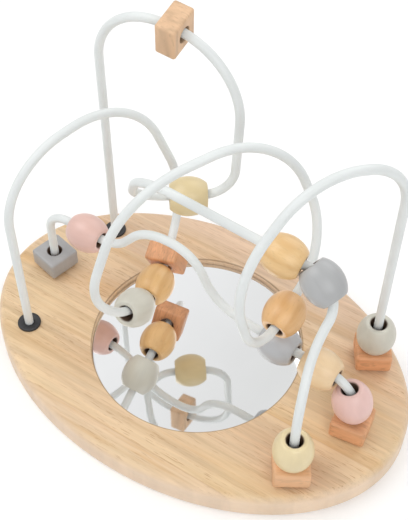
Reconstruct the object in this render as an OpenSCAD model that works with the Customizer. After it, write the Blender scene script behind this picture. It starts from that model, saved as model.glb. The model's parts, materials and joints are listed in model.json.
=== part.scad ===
// Bead maze: three bent wires with beads and blocks on an oval wooden board
// Millimetres, Z up, X along the board, origin in the middle of the board's underside

/* [Board] */
// Length of the oval board
base_length = 223; // [190:1:260]
// Width of the oval board
base_width = 152; // [135:1:180]
// Thickness of the board
base_thickness = 15; // [13:0.5:22]
// Rounding of the board's upper edge
top_round = 4; // [1:0.5:6]
// Rounding of the board's lower edge
bottom_round = 2.5; // [1:0.5:5]

/* [Mirror] */
// Diameter of the round pocket in the board
pocket_d = 105; // [80:1:112]
// Depth of the mirror's face below the board's top
mirror_drop = 3.2; // [1:0.1:4]
// Thickness of the mirror
mirror_thickness = 2; // [1:0.1:3]
// Thickness of the adhesive pad under the mirror
pad_thickness = 0.8; // [0.4:0.1:1.5]
// Width of the bare rim between the pad's edge and the mirror's edge
pad_inset = 4; // [1:0.5:10]
// Play between the mirror's edge and the pocket's wall
mirror_play = 0.25; // [0.1:0.05:0.5]

/* [Wires] */
// Diameter of the coated wire
wire_d = 4.3; // [3:0.1:6]
// Height of the tall wire's arch above the board
tall_height = 150; // [125:1:180]
// Height of the corkscrew wire's arches above the board
corkscrew_height = 110; // [95:1:130]
// Height of the low wire's hump above the board
low_height = 66; // [55:1:75]
// Gap between beads that pass on the low wire and on the corkscrew's second valley
valley_gap = 5.2; // [3:0.1:8]
// Gap between beads that pass on the corkscrew's second valley and on the tall wire's long run
loop_gap = 7.2; // [4:0.1:12]
// Depth of the wires' feet below the board's top
foot_depth = 10; // [7:0.5:12]
// Extra thickness of a wire where the bending tool pressed it
bend_swell = 0.04; // [0.02:0.01:0.1]
// Length by which a straight run enters the next bend
run_overlap = 0.3; // [0.1:0.1:0.5]

/* [Bushings] */
// Diameter of a bushing's flange
flange_d = 11.6; // [10:0.1:15]
// Height of a bushing's flange
flange_height = 1.2; // [0.8:0.1:2]
// Chamfer on the flange's upper edge
flange_chamfer = 0.5; // [0.2:0.1:0.8]
// Wall of a bushing's sleeve
sleeve_wall = 1.3; // [0.8:0.1:2]
// Length of a bushing's sleeve below the board's top
sleeve_length = 8; // [5:0.5:10]
// Play between wire, bushing and board
fit_play = 0.1; // [0.05:0.05:0.3]

/* [Beads] */
// Largest diameter of a bead
bead_d = 18.8; // [16:0.1:22]
// Length of a bead along its bore
bead_length = 17.8; // [15:0.1:20]
// Diameter of a bead's flat ends
bead_end_d = 12; // [9.5:0.1:13]
// Play between a wire and the bores of beads and blocks
bore_play = 3.2; // [3:0.1:4.2]
// Chamfer at the mouth of a bead's or block's bore
mouth_chamfer = 0.6; // [0.4:0.1:0.8]

/* [Blocks] */
// Side of a block's square face
block_side = 17; // [15:0.5:20]
// Thickness of a block along its bore
block_thickness = 10; // [8:0.5:11]
// Rounding of a block's edges
block_round = 1.2; // [0.5:0.1:2.5]

/* [Rest positions] */
// Gap between a hanging piece's bore and its wire
hang_gap = 0.4; // [0.3:0.05:0.5]
// Gap between pieces that rest on each other
rest_gap = 0.2; // [0.1:0.05:0.5]
// Gap between the pieces in the corkscrew's first valley
trio_gap = 0.5; // [0.2:0.1:2]
// Gap between the last two beads on the low wire's run
pair_gap = 4.4; // [1:0.1:5]

/* [Hidden] */
$fn = 72;
// Overrun of every cut past the face it opens
overrun = 1;
// Points round the oval's edge and steps in each rounded edge
oval_points = 96;
round_steps = 5;

bore_d = wire_d + bore_play;
sleeve_d = wire_d + fit_play + 2 * sleeve_wall;
pocket_depth = mirror_drop + mirror_thickness + pad_thickness;
foot_level = base_thickness - foot_depth;
flange_top = base_thickness + flange_height;
full_turn = 360;
quarter_turn = full_turn / 4;

// Levels above the board where the wires pass over each other
low_run_share = 0.54;
low_run_level = low_run_share * low_height;
valley_level = low_run_level + bead_d + valley_gap;
loop_level = valley_level + bead_d + loop_gap;

// Corners of each wire: shares of half the board's length and half its width, the height above the board
// as a share of a named level, and the share of the shorter neighbouring leg that the bend takes up
tall_shares = [
    [-0.695, 0.49, 1.03 * tall_height, 0.47],
    [-0.025, 0.55, 0.985 * tall_height, 0.47],
    [-0.038, 0.50, 0.815 * loop_level, 0.32],
    [-0.385, 0.12, 0.83 * loop_level, 0.39],
    [-0.235, -0.085, 1.26 * loop_level, 0.42],
    [0.65, 0.04, 1.035 * loop_level, 0.56],
    [0.62, -0.22, 0.77 * loop_level, 0.43],
    [0.68, -0.51, 0.58 * loop_level, 0.45]
];
corkscrew_shares = [
    [-0.69, -0.49, 0.96 * corkscrew_height, 0.46],
    [-0.515, 0.45, 1.02 * corkscrew_height, 0.46],
    [-0.375, 0.69, 0.385 * corkscrew_height, 0.30],
    [-0.19, -0.13, 0.055 * corkscrew_height, 0.68],
    [-0.26, -0.575, 0.535 * corkscrew_height, 0.28],
    [-0.16, -0.37, 1.07 * corkscrew_height, 0.48],
    [0.19, 0.42, 1.20 * corkscrew_height, 0.47],
    [0.42, 0.505, 1.14 * valley_level, 0.40],
    [0.43, -0.37, 0.915 * valley_level, 0.38],
    [0.355, -0.495, 0.99 * corkscrew_height, 0.48],
    [0.49, -0.03, 1.36 * corkscrew_height, 0.48],
    [0.70, 0.49, 1.22 * corkscrew_height, 0.48]
];
low_shares = [
    [-0.80, 0.01, 0.635 * low_height, 0.30],
    [-0.42, 0, 0.63 * low_height, 0.32],
    [-0.255, 0, 0.99 * low_height, 0.46],
    [-0.02, 0, 0.99 * low_height, 0.46],
    [0.105, -0.01, 1.056 * low_run_level, 0.46],
    [0.79, -0.045, 0.945 * low_run_level, 0.37]
];

// Vectors
function unit(v) = v / norm(v);
function last(list) = list[len(list) - 1];

// Frame with its Z axis along a direction, as a matrix
function frame(point, direction) =
    let (
        guide = abs(direction[2]) > 0.9 ? [1, 0, 0] : [0, 0, 1],
        side = unit(cross(direction, guide)),
        front = cross(side, direction)
    )
    axes(front, side, direction, point);
function axes(a, b, c, p) = [
    [a[0], b[0], c[0], p[0]],
    [a[1], b[1], c[1], p[1]],
    [a[2], b[2], c[2], p[2]],
    [0, 0, 0, 1]
];

// A wire is its corner points, feet included, and its bends
function corner_point(share) = [
    share[0] * base_length / 2,
    share[1] * base_width / 2,
    base_thickness + share[2]
];
function foot_point(share) = [share[0] * base_length / 2, share[1] * base_width / 2, foot_level];
function corner_points(shares) = concat(
    [foot_point(shares[0])],
    [for (share = shares) corner_point(share)],
    [foot_point(last(shares))]
);
// A bend is its start, finish, centre, radius, angle, first direction, inward direction and axis
function bend(before, corner, after, share) =
    let (
        into = unit(corner - before),
        out_of = unit(after - corner),
        angle = acos(into * out_of),
        reach = share * min(norm(corner - before), norm(after - corner)),
        radius = reach / tan(angle / 2),
        axis = unit(cross(into, out_of)),
        inward = cross(axis, into),
        start = corner - reach * into
    )
    [start, corner + reach * out_of, start + radius * inward, radius, angle, into, inward, axis];
function wire_of(shares) =
    let (points = corner_points(shares))
    [points, [for (i = [1:len(points) - 2]) bend(points[i - 1], points[i], points[i + 1], shares[i - 1][3])]];
// Straight run number i follows bend number i, and run 0 is the first foot
function run_ends(wire, i) = [
    i == 0 ? wire[0][0] : wire[1][i - 1][1],
    i == len(wire[1]) ? last(wire[0]) : wire[1][i][0]
];
function run_direction(wire, i) = unit(run_ends(wire, i)[1] - run_ends(wire, i)[0]);

tall = wire_of(tall_shares);
corkscrew = wire_of(corkscrew_shares);
low = wire_of(low_shares);
feet = [for (wire = [tall, corkscrew, low], end = [0, len(wire[0]) - 1]) wire[0][end]];

// Seats: a point and a direction for a piece on a wire, hanging with its bore on the wire
function slack() = bore_play / 2 - hang_gap;
function lateral(direction) = [0, 0, -1] + direction[2] * direction;
function run_seat(wire, i, share, drop_share = 1) =
    let (
        ends = run_ends(wire, i),
        direction = run_direction(wire, i)
    )
    [ends[0] + share * (ends[1] - ends[0]) + drop_share * slack() * lateral(direction), direction];
// A seat that lies a distance back from the end of a run
function back_seat(wire, i, distance) =
    let (
        ends = run_ends(wire, i),
        direction = run_direction(wire, i)
    )
    [ends[1] - distance * direction + slack() * lateral(direction), direction];
function turn_of(wire, i, share) = share * wire[1][i - 1][4];
// Turn between neighbours in a bend, where the inner rims of their ends come closest
function pair_turn(b, length, next_length) =
    let (rim = b[3] - bead_end_d / 2)
    atan(length / 2 / rim) + atan(next_length / 2 / rim) + atan(trio_gap / rim);
function turned_out(b, turn) = sin(turn) * b[5] - cos(turn) * b[6];
function turned_along(b, turn) = cos(turn) * b[5] + sin(turn) * b[6];
function sag(b, length) = b[3] - sqrt(b[3] * b[3] - length * length / 4);
function bend_seat(wire, i, turn, length, drop_share = 1) =
    let (
        b = wire[1][i - 1],
        away = turned_out(b, turn),
        direction = turned_along(b, turn),
        down = lateral(direction),
        drop = drop_share * slack() - sag(b, length) * max(0, down * away)
    )
    [b[2] + b[3] * away + drop * down, direction];
// In a tight bend the piece is centred on the curve of the wire inside it
function tight_seat(wire, i, share, length) =
    let (
        b = wire[1][i - 1],
        turn = turn_of(wire, i, share),
        half_bore = length / 2 - mouth_chamfer,
        outer = b[3] + wire_d / 2,
        inner = b[3] - wire_d / 2,
        middle = (outer + sqrt(inner * inner - half_bore * half_bore)) / 2
    )
    [b[2] + middle * turned_out(b, turn), turned_along(b, turn)];
function stack_seat(foot, below, length) =
    [[foot[0], foot[1], flange_top + rest_gap + below + length / 2], [0, 0, 1]];

// Shares of a run, a bend or a bead's length where the pieces rest, and the turn of each block about its bore
top_block_share = 0.02;
upper_yellow_share = 0.36;
loop_natural_share = 0.71;
loop_grey_share = 0.3;
valley_natural_share = 0.34;
coil_orange_share = 0.76;
low_pink_share = 0.60;
low_natural_share = 0.2;
end_pink_share = 0.815;
// Shares of the play in the bore by which the pieces near bends hang
top_block_drop_share = 0.85;
near_bend_drop_share = 0.5;
top_block_turn = 10;
front_block_turn = 32;
valley_block_turn = 9;
right_block_turn = 31;
left_block_turn = -13;
end_block_turn = 8;

stacked = block_thickness + rest_gap;
top_block_seat = bend_seat(tall, 2, turn_of(tall, 2, top_block_share), block_thickness, top_block_drop_share);
upper_yellow_seat = run_seat(tall, 3, upper_yellow_share, near_bend_drop_share);
loop_natural_seat = back_seat(tall, 5, loop_natural_share * bead_length);
loop_grey_seat = tight_seat(tall, 6, loop_grey_share, bead_length);
front_block_seat = stack_seat(feet[1], 0, block_thickness);
front_yellow_seat = stack_seat(feet[1], stacked, bead_length);
trio_bend = corkscrew[1][3];
trio_turn = turn_of(corkscrew, 4, valley_natural_share);
block_turn = trio_turn - pair_turn(trio_bend, block_thickness, bead_length);
pale_turn = trio_turn + pair_turn(trio_bend, bead_length, bead_length);
valley_block_seat = bend_seat(corkscrew, 4, block_turn, block_thickness);
valley_natural_seat = bend_seat(corkscrew, 4, trio_turn, bead_length);
valley_pale_seat = bend_seat(corkscrew, 4, pale_turn, bead_length);
coil_orange_seat = run_seat(corkscrew, 8, coil_orange_share, near_bend_drop_share);
right_block_seat = stack_seat(feet[3], 0, block_thickness);
right_pale_seat = stack_seat(feet[3], stacked, bead_length);
left_block_seat = stack_seat(feet[4], 0, block_thickness);
low_pink_seat = run_seat(low, 1, low_pink_share);
low_natural_back = low_natural_share * bead_length;
low_natural_seat = back_seat(low, 5, low_natural_back);
low_grey_seat = back_seat(low, 5, low_natural_back + bead_length + pair_gap);
end_pink_seat = tight_seat(low, 6, end_pink_share, bead_length);
end_block_seat = stack_seat(feet[5], 0, block_thickness);

// Colours
wood = [0.90, 0.75, 0.52];
mirror_grey = [0.80, 0.84, 0.86];
pad_white = [0.93, 0.93, 0.90];
rubber = [0.10, 0.10, 0.11];
coated = [0.88, 0.88, 0.85];
pink = [0.90, 0.74, 0.71];
grey = [0.68, 0.67, 0.68];
pale = [0.82, 0.81, 0.76];
yellow = [0.93, 0.87, 0.66];
natural = [0.89, 0.74, 0.49];
orange = [0.90, 0.69, 0.46];
beech = [0.83, 0.58, 0.40];
light_beech = [0.87, 0.72, 0.57];
grey_block_paint = [0.63, 0.61, 0.60];

// Oval plate with rounded edges, built from rings of points
function oval_ring(inset, z) = [
    for (k = [0:oval_points - 1])
        [
            (base_length / 2 - inset) * cos(full_turn * k / oval_points),
            (base_width / 2 - inset) * sin(full_turn * k / oval_points),
            z
        ]
];
module rounded_oval_plate() {
    lower = [for (s = [0:round_steps]) quarter_turn * s / round_steps];
    rings = concat(
        [for (a = lower) oval_ring(bottom_round * (1 - sin(a)), bottom_round * (1 - cos(a)))],
        [for (a = lower) oval_ring(top_round * (1 - cos(a)), base_thickness - top_round * (1 - sin(a)))]
    );
    n = oval_points;
    top_ring = len(rings) - 1;
    walls = [
        for (r = [0:top_ring - 1], k = [0:n - 1])
            let (
                a = r * n + k,
                b = r * n + (k + 1) % n
            )
            each [[a, a + n, b + n], [a, b + n, b]]
    ];
    underside = [for (k = [0:n - 1]) k];
    upper_face = [for (k = [0:n - 1]) top_ring * n + n - 1 - k];
    polyhedron([for (ring = rings) each ring], concat([underside], walls, [upper_face]));
}

// Square tile with all its edges rounded, its bore along Z
function rounded_outline(width, height) = [
    for (corner = [0:3], s = [0:round_steps])
        let (
            a = quarter_turn * (corner + s / round_steps),
            right = corner == 0 || corner == 3 ? 1 : -1,
            up = corner < 2 ? 1 : -1
        )
        [
            right * (width / 2 - block_round) + block_round * cos(a),
            up * (height / 2 - block_round) + block_round * sin(a)
        ]
];
module slab(width, height, depth) {
    translate([0, 0, -depth / 2])
        linear_extrude(height = depth)
            polygon(rounded_outline(width, height));
}
module bore_cut(length) {
    translate([0, 0, -length / 2 - overrun])
        cylinder(d = bore_d, h = length + 2 * overrun);
}
module mouth_cut(length) {
    rim = bore_d / 2 + mouth_chamfer;
    for (end = [-1, 1])
        rotate([end > 0 ? 0 : full_turn / 2, 0, 0])
            translate([0, 0, length / 2 - mouth_chamfer])
                cylinder(r1 = bore_d / 2, r2 = rim + overrun, h = mouth_chamfer + overrun);
}
module block() {
    difference() {
        intersection() {
            slab(block_side, block_side, block_thickness);
            rotate([quarter_turn, 0, 0])
                slab(block_side, block_thickness, block_side);
            rotate([0, quarter_turn, 0])
                slab(block_thickness, block_side, block_side);
        }
        bore_cut(block_thickness);
        mouth_cut(block_thickness);
    }
}

// Barrel bead, a stretched ball cut off flat at both ends, its bore along Z
bead_stretch = bead_length / sqrt(bead_d * bead_d - bead_end_d * bead_end_d);
module bead() {
    difference() {
        intersection() {
            scale([1, 1, bead_stretch])
                sphere(d = bead_d);
            cylinder(d = bead_d + overrun, h = bead_length, center = true);
        }
        bore_cut(bead_length);
        mouth_cut(bead_length);
    }
}

module seated(seat, turn = 0) {
    multmatrix(frame(seat[0], seat[1]))
        rotate([0, 0, turn])
            children();
}

// Wires: straight rods and bent rods joined into one piece
module straight_rod(wire, i) {
    ends = run_ends(wire, i);
    before = i == 0 ? 0 : run_overlap;
    after = i == len(wire[1]) ? 0 : run_overlap;
    multmatrix(frame(ends[0], run_direction(wire, i)))
        translate([0, 0, -before])
            cylinder(d = wire_d, h = norm(ends[1] - ends[0]) + before + after);
}
module bent_rod(b) {
    multmatrix(axes(-b[6], b[5], b[7], b[2]))
        rotate_extrude(angle = b[4])
            translate([b[3], 0])
                circle(d = wire_d + bend_swell);
}
module bent_wire(wire) {
    union() {
        for (i = [0:len(wire[1])])
            straight_rod(wire, i);
        for (b = wire[1])
            bent_rod(b);
    }
}

// Board, mirror and bushings
module base_board() {
    color(wood)
        difference() {
            rounded_oval_plate();
            translate([0, 0, base_thickness - pocket_depth])
                cylinder(d = pocket_d, h = pocket_depth + overrun);
            for (foot = feet)
                translate([foot[0], foot[1], foot_level])
                    cylinder(d = sleeve_d + fit_play, h = foot_depth + overrun);
        }
}
module mirror_disc() {
    color(mirror_grey)
        translate([0, 0, base_thickness - mirror_drop - mirror_thickness])
            cylinder(d = pocket_d - 2 * mirror_play, h = mirror_thickness);
}
module mirror_pad() {
    color(pad_white)
        translate([0, 0, base_thickness - pocket_depth])
            cylinder(d = pocket_d - 2 * mirror_play - 2 * pad_inset, h = pad_thickness);
}
module bushing() {
    inner = (wire_d + fit_play) / 2;
    rotate_extrude()
        polygon([
            [inner, -sleeve_length],
            [sleeve_d / 2, -sleeve_length],
            [sleeve_d / 2, 0],
            [flange_d / 2, 0],
            [flange_d / 2, flange_height - flange_chamfer],
            [flange_d / 2 - flange_chamfer, flange_height],
            [inner, flange_height]
        ]);
}
module wire_bushings() {
    color(rubber)
        for (foot = feet)
            translate([foot[0], foot[1], base_thickness])
                bushing();
}

// Wires
module tall_wire() {
    color(coated) bent_wire(tall);
}
module corkscrew_wire() {
    color(coated) bent_wire(corkscrew);
}
module low_wire() {
    color(coated) bent_wire(low);
}

// Pieces on the tall wire
module top_block() {
    color(light_beech) seated(top_block_seat, top_block_turn) block();
}
module upper_yellow_bead() {
    color(yellow) seated(upper_yellow_seat) bead();
}
module loop_natural_bead() {
    color(natural) seated(loop_natural_seat) bead();
}
module loop_grey_bead() {
    color(grey) seated(loop_grey_seat) bead();
}
module front_block() {
    color(beech) seated(front_block_seat, front_block_turn) block();
}
module front_yellow_bead() {
    color(yellow) seated(front_yellow_seat) bead();
}

// Pieces on the corkscrew wire
module valley_block() {
    color(beech) seated(valley_block_seat, valley_block_turn) block();
}
module valley_natural_bead() {
    color(natural) seated(valley_natural_seat) bead();
}
module valley_pale_bead() {
    color(pale) seated(valley_pale_seat) bead();
}
module coil_orange_bead() {
    color(orange) seated(coil_orange_seat) bead();
}
module right_block() {
    color(beech) seated(right_block_seat, right_block_turn) block();
}
module right_pale_bead() {
    color(pale) seated(right_pale_seat) bead();
}

// Pieces on the low wire
module left_grey_block() {
    color(grey_block_paint) seated(left_block_seat, left_block_turn) block();
}
module low_pink_bead() {
    color(pink) seated(low_pink_seat) bead();
}
module low_grey_bead() {
    color(grey) seated(low_grey_seat) bead();
}
module low_natural_bead() {
    color(natural) seated(low_natural_seat) bead();
}
module end_pink_bead() {
    color(pink) seated(end_pink_seat) bead();
}
module end_block() {
    color(beech) seated(end_block_seat, end_block_turn) block();
}

base_board();
mirror_disc();
mirror_pad();
wire_bushings();
tall_wire();
corkscrew_wire();
low_wire();
top_block();
upper_yellow_bead();
loop_natural_bead();
loop_grey_bead();
front_block();
front_yellow_bead();
valley_block();
valley_natural_bead();
valley_pale_bead();
coil_orange_bead();
right_block();
right_pale_bead();
left_grey_block();
low_pink_bead();
low_grey_bead();
low_natural_bead();
end_pink_bead();
end_block();
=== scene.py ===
"""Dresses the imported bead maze: board, mirror, wires, bushings, beads, blocks and the stage."""

import json
import math
from functools import partial

import bmesh
import bpy
from bpy.props import FloatProperty, FloatVectorProperty, PointerProperty
from bpy.types import Operator, Panel, PropertyGroup
from mathutils import Matrix, Vector


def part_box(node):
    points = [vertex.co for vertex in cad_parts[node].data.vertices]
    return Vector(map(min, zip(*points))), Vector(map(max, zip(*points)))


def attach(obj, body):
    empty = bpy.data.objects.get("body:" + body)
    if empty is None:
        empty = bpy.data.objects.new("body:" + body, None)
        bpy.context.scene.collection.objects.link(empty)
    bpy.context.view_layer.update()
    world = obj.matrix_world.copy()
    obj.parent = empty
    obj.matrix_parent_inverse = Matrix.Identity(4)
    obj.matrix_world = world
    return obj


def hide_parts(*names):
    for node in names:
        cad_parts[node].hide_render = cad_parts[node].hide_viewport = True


bl_info = {
    "name": "Bead maze",
    "version": (1, 0, 0),
    "blender": (4, 5, 0),
    "location": "View3D > Sidebar > Bead maze",
    "description": "Dresses the packed model of a wooden bead maze",
    "category": "Object",
}

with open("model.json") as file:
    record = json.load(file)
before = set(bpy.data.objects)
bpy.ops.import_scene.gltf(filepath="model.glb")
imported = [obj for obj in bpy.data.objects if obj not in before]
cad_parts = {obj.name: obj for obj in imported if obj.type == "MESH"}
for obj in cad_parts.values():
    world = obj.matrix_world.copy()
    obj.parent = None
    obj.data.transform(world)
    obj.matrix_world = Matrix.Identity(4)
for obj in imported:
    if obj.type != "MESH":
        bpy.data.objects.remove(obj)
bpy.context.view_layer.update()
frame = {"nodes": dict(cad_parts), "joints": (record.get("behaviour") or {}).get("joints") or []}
joint_of = {joint["child"]: joint for joint in frame["joints"]}

# Sizes and levels of the board, mirror, bushings and wire feet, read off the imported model
board_low, board_high = (Vector(corner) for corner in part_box("base_board"))
half_length = (board_high.x - board_low.x) / 2
half_width = (board_high.y - board_low.y) / 2
board_top = board_high.z
mirror_low, mirror_high = (Vector(corner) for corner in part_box("mirror_disc"))
mirror_radius = mirror_high.x
pocket_floor = Vector(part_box("mirror_pad")[0]).z
bushing_top = Vector(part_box("wire_bushings")[1]).z
wire_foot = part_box("low_wire")[0][2]

# Levels above the board, in metres, that the wires' corners are shares of
tall_level = 0.150
corkscrew_level = 0.110
low_level = 0.066
low_run_level = 0.54 * low_level
valley_rise = 0.024
valley_level = low_run_level + valley_rise
loop_rise = 0.026
loop_level = valley_level + loop_rise

# Plays and small steps, in metres
POCKET_PLAY = 0.00025
FIT_PLAY = 0.00005
CUTTER_OVERRUN = 0.002
BORE_MOUTH = 0.0005
LEAST_CORNER = 0.00005

# Where a shade starts and ends, in metres: out from the mirror, down from the board's top (painted shade
# along the pocket's lip), in from the mirror's rim (painted shade just inside it), and out from the middle of
# the floor
POCKET_WALL = (0.0006, 0.0010)
POCKET_LIP_SHADE = (0.0007, 0.0003)
MIRROR_RIM_SHADE = (0.0007, 0.0002)
PAPER_FADE = (0.4, 0.9)

# Points round each outline and steps in each rounding
OVAL_POINTS = 256
BORE_POINTS = 48
FLANGE_POINTS = 64
WIRE_POINTS = 32
BEAD_POINTS = 96
BEAD_STEPS = 32
BEAD_EDGE_STEPS = 5
BOARD_STEPS = 8
EDGE_STEPS = 4
DEGREES_PER_STEP = 3
LEAST_BEND_STEPS = 6

# Angles in degrees over which an edge stays sharp
BOARD_SHARP = 30
BUSHING_SHARP = 50
WIRE_SHARP = 50
BLOCK_SHARP = 40

# Depth of the fine relief on coat, paint and rubber, and of the relief on wood and foam, in metres
COAT_RELIEF = 0.0001
GRAIN_RELIEF = 0.0002

# Where the first strip of the board starts, and how the tones of the strips follow each other
STRIP_START_SHARE = 0.37
STRIP_TONE_STEP = 0.41
STRIP_TONE_START = 0.55

# How far a bore's mouth is opened at its middle ring, and how upright a bore counts as upright
MOUTH_SHARE = 0.3
UPRIGHT_SHARE = 0.9

# How far the grain moves on from one piece to the next, in metres
BEAD_GRAIN = (0.031, 0.017, 0.043)
BLOCK_GRAIN = (0.027, 0.019, 0.0)

# Each soft lamp's place and width in metres, and its power in watts
LAMPS = {
    "key": ((-0.55, -0.25, 0.95), 0.9, 4.9),
    "fill": ((0.75, -0.55, 0.75), 1.0, 4.4),
    "back": ((0.1, 0.9, 0.8), 1.0, 3.2),
}
LAMP_AIM = (0, 0, 0.05)
BOUNCE_LIFT = 0.001
BOUNCE_WIDTH_SHARE = 1.9
BOUNCE_POWER = 0.011
ROOM_LIGHT = 0.48
PAPER_GLOW = 0.18
FLOOR_HALF = 6.0

# The camera's place in metres, its direction, its lens and film in millimetres, and its roll in degrees
CAMERA_PLACE = (0.1654, -0.2519, 0.439)
CAMERA_AHEAD = (-0.3455, 0.5388, -0.768)
CAMERA_LENS = 71.85
CAMERA_FILM = 36
CAMERA_ROLL = 0.27

# Plain white, with its opacity
WHITE = (1, 1, 1, 1)

# Colours that lighten the palest pieces, in picture levels
PALE_TURNED = (247, 226, 196)
PALE_BEECH = (234, 196, 154)

# Corners of each wire: shares of half the board's length and width, the height above the board
# and the share of the shorter neighbouring leg that the bend takes up
ROUTES = {
    "tall_wire": (
        (-0.695, 0.49, 1.03 * tall_level, 0.47),
        (-0.025, 0.55, 0.985 * tall_level, 0.47),
        (-0.038, 0.50, 0.815 * loop_level, 0.32),
        (-0.385, 0.12, 0.83 * loop_level, 0.39),
        (-0.235, -0.085, 1.26 * loop_level, 0.42),
        (0.65, 0.04, 1.035 * loop_level, 0.56),
        (0.62, -0.22, 0.77 * loop_level, 0.43),
        (0.68, -0.51, 0.58 * loop_level, 0.45),
    ),
    "corkscrew_wire": (
        (-0.69, -0.49, 0.96 * corkscrew_level, 0.46),
        (-0.515, 0.45, 1.02 * corkscrew_level, 0.46),
        (-0.375, 0.69, 0.385 * corkscrew_level, 0.30),
        (-0.19, -0.13, 0.055 * corkscrew_level, 0.68),
        (-0.26, -0.575, 0.535 * corkscrew_level, 0.28),
        (-0.16, -0.37, 1.07 * corkscrew_level, 0.48),
        (0.19, 0.42, 1.20 * corkscrew_level, 0.47),
        (0.42, 0.505, 1.14 * valley_level, 0.40),
        (0.43, -0.37, 0.915 * valley_level, 0.38),
        (0.355, -0.495, 0.99 * corkscrew_level, 0.48),
        (0.49, -0.03, 1.36 * corkscrew_level, 0.48),
        (0.70, 0.49, 1.22 * corkscrew_level, 0.48),
    ),
    "low_wire": (
        (-0.80, 0.01, 0.635 * low_level, 0.30),
        (-0.42, 0, 0.63 * low_level, 0.32),
        (-0.255, 0, 0.99 * low_level, 0.46),
        (-0.02, 0, 0.99 * low_level, 0.46),
        (0.105, -0.01, 1.056 * low_run_level, 0.46),
        (0.79, -0.045, 0.945 * low_run_level, 0.37),
    ),
}

# Each bead's finish and a tone from 0, dark, to 1, light
BEADS = {
    "upper_yellow_bead": ("paint_yellow", 0.0),
    "loop_natural_bead": ("wood_natural", 0.45),
    "loop_grey_bead": ("paint_grey", 0.3),
    "front_yellow_bead": ("paint_yellow", 0.7),
    "valley_natural_bead": ("wood_natural", 0.0),
    "valley_pale_bead": ("paint_pale", 0.5),
    "coil_orange_bead": ("wood_orange", 0.5),
    "right_pale_bead": ("paint_pale", 0.45),
    "low_pink_bead": ("paint_pink", 0.2),
    "low_grey_bead": ("paint_grey", 1.0),
    "low_natural_bead": ("wood_natural", 1.0),
    "end_pink_bead": ("paint_pink", 1.0),
}

# Each block's finish, its turn about its bore in degrees and its tone
BLOCKS = {
    "top_block": ("wood_light_beech", 10, 0.5),
    "front_block": ("wood_beech", 32, 0.95),
    "valley_block": ("wood_beech", 9, 0.3),
    "right_block": ("wood_beech", 31, 0.5),
    "left_grey_block": ("paint_grey_block", -13, 0.5),
    "end_block": ("wood_beech", 8, 0.6),
}


def linear(red, green, blue):
    """A colour given in picture levels from 0 to 255, as the shader's linear values."""
    def step(level):
        share = level / 255
        return share / 12.92 if share <= 0.04045 else ((share + 0.055) / 1.055) ** 2.4
    return (step(red), step(green), step(blue))


def length(name, description, default):
    return FloatProperty(name=name, description=description, default=default, unit="LENGTH", precision=5)


def colour(name, description, default):
    return FloatVectorProperty(
        name=name, description=description, default=linear(*default), subtype="COLOR", min=0, max=1
    )


class MazeSizes(PropertyGroup):
    """Lengths of the dressed pieces, in metres."""
    board_top_round: length("Board top rounding", "Rounding of the board's upper edge", 0.004)
    board_under_round: length("Board under rounding", "Rounding of the board's lower edge", 0.0025)
    pocket_edge: length("Pocket edge", "Small rounding where the pocket meets the top", 0.0004)
    strip_width: length("Strip width", "Width of the board's glued strips", 0.047)
    wire_diameter: length("Wire diameter", "Outside diameter of the coated wires", 0.0043)
    sleeve_diameter: length("Sleeve diameter", "Outside diameter of a bushing's sleeve", 0.0070)
    sleeve_length: length("Sleeve length", "Depth of a bushing's sleeve in the board", 0.008)
    flange_diameter: length("Flange diameter", "Outside diameter of a bushing's flange", 0.0116)
    flange_edge: length("Flange edge", "Rounding of a bushing's flange", 0.0005)
    bead_diameter: length("Bead diameter", "Diameter of a bead at its middle", 0.0188)
    bead_length: length("Bead length", "Length of a bead along its bore", 0.0178)
    bead_end: length("Bead end", "Diameter of a bead's flat ends", 0.012)
    bore_diameter: length("Bore diameter", "Diameter of the bores in beads and blocks", 0.0075)
    bead_edge: length("Bead edge", "Rounding of a bead's ends and bore mouths", 0.0009)
    block_side: length("Block side", "Side of a block's square face", 0.017)
    block_thickness: length("Block thickness", "Thickness of a block along its bore", 0.010)
    block_edge: length("Block edge", "Rounding of a block's edges", 0.0012)


class MazeColours(PropertyGroup):
    """Colours of the finishes."""
    board: colour("Board", "Pale wood of the board", (234, 206, 173))
    board_streak: colour("Board streak", "Tan streaks in the board", (222, 184, 138))
    board_side: colour("Board side", "Paler wood of the board's side", (244, 219, 194))
    pore: colour("Pores", "Short dark pores in the board", (178, 132, 90))
    mirror: colour("Mirror", "Tint of the mirror", (237, 238, 239))
    pad: colour("Pad", "Foam pad under the mirror", (236, 236, 230))
    wire: colour("Wire coat", "Off-white coat of the wires", (230, 234, 233))
    rubber: colour("Bushing", "Black rubber of the bushings", (34, 34, 36))
    pink: colour("Pink", "Pink paint", (238, 200, 192))
    grey: colour("Grey", "Grey paint of the beads", (186, 188, 191))
    pale: colour("Pale", "Pale grey-green paint", (213, 210, 197))
    yellow: colour("Yellow", "Pale yellow paint", (238, 220, 177))
    natural: colour("Natural", "Clear finished light wood", (233, 198, 146))
    orange: colour("Orange", "Clear finished orange wood", (230, 186, 133))
    beech: colour("Beech", "Beech of the blocks", (228, 170, 126))
    light_beech: colour("Light beech", "Beech of the block on the crest", (227, 191, 155))
    block_grey: colour("Block grey", "Grey paint of the left block", (174, 173, 173))
    # The bore colour is raw wood darkened with painted shade; it also paints the shade just inside the
    # mirror's rim.
    bore: colour("Bore", "Raw wood inside the bores", (98, 76, 62))


def node_in(tree, kind, inputs=None, **settings):
    """Adds a node to any tree, sets its options and fills or links its inputs."""
    node = tree.nodes.new(kind)
    for key, value in settings.items():
        setattr(node, key, value)
    for key, value in (inputs or {}).items():
        if isinstance(value, bpy.types.NodeSocket):
            tree.links.new(value, node.inputs[key])
        else:
            node.inputs[key].default_value = value
    return node


def sum_of(tree, operation, first, second=0.0):
    return node_in(tree, "ShaderNodeMath", {0: first, 1: second}, operation=operation).outputs[0]


def even(level):
    """A neutral shade of one level."""
    return (level,) * 3


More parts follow.
